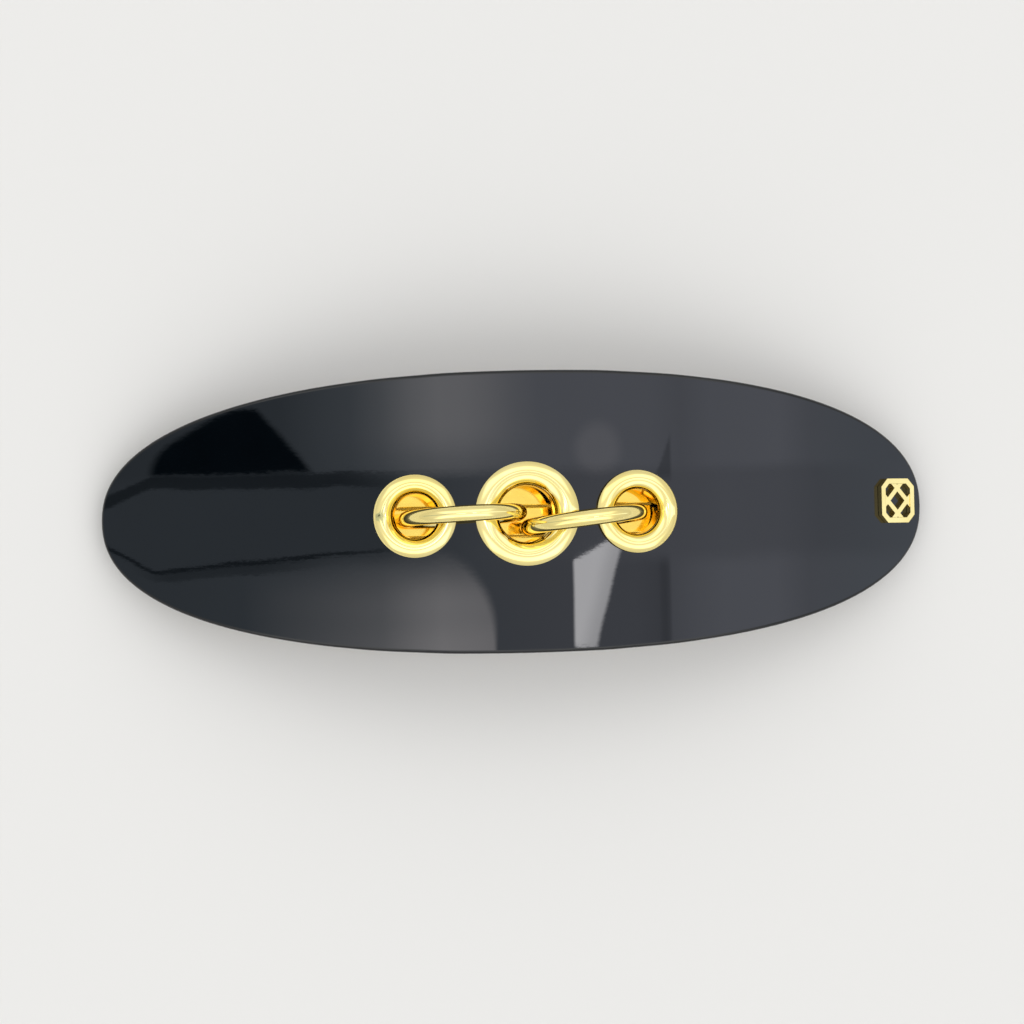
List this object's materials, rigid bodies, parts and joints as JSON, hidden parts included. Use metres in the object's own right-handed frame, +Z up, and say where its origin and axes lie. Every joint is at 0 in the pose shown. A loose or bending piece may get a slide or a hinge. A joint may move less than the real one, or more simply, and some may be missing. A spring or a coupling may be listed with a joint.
{
  "type": "barrette",
  "caption": "Arched oval barrette in glossy acetate with a row of metal eyelets, closed rings threaded through them, an openwork badge and a hinged spring clip behind.",
  "frame": {"origin": "under the middle of the plate, on the flat underside of the closed clasp arm, which is the face the barrette rests on", "axes": "+X along the length towards the badge end, +Y across the plate, +Z up out of the decorated face"},
  "size_m": [0.1142, 0.038, 0.0279],
  "materials": {
    "acetate": "polished black acetate",
    "gold_trim": "mirror-polished gold plate",
    "clip_steel": "gold-plated stamped steel",
    "spring_steel": "gold-plated spring steel"
  },
  "bodies": {
    "main": {"plate": "acetate", "eyelet_left": "gold_trim", "eyelet_centre": "gold_trim", "eyelet_right": "gold_trim", "washer_left": "gold_trim", "washer_centre": "gold_trim", "washer_right": "gold_trim", "badge": "gold_trim", "clip_base": "clip_steel", "plate_rivets": "clip_steel", "hinge_pin": "clip_steel", "catch_body": "spring_steel", "catch_rivet": "clip_steel", "tension_bar": "spring_steel"},
    "arm": {"clasp_arm": "clip_steel"},
    "prong_front": {"catch_prong_front": "spring_steel"},
    "prong_rear": {"catch_prong_rear": "spring_steel"},
    "ring_left": {"ring_left": "gold_trim"},
    "ring_right": {"ring_right": "gold_trim"}
  },
  "joints": [
    {"name": "arm_hinge", "type": "hinge", "parent": "main", "child": "arm", "pos_m": [-0.04, -0.00115, 0.0013], "axis": [0, 1, 0], "range_deg": [0, 80]},
    {"name": "prong_front_flex", "type": "hinge", "parent": "main", "child": "prong_front", "pos_m": [0.0385, -0.00315, 0.007], "axis": [1, 0, 0], "range_deg": [0, 6], "stiffness_Nm_per_rad": 0.1},
    {"name": "prong_rear_flex", "type": "hinge", "parent": "main", "child": "prong_rear", "pos_m": [0.0385, 0.00085, 0.007], "axis": [-1, 0, 0], "range_deg": [0, 6], "stiffness_Nm_per_rad": 0.1},
    {"name": "ring_left_spin", "type": "hinge", "parent": "main", "child": "ring_left", "pos_m": [-0.00866, -0.00042, 0.0193], "axis": [0.0401, -0.9988, 0.0279], "continuous": true},
    {"name": "ring_right_spin", "type": "hinge", "parent": "main", "child": "ring_right", "pos_m": [0.00766, -0.0013, 0.0193], "axis": [0.1114, -0.9935, 0.0244], "continuous": true}
  ]
}
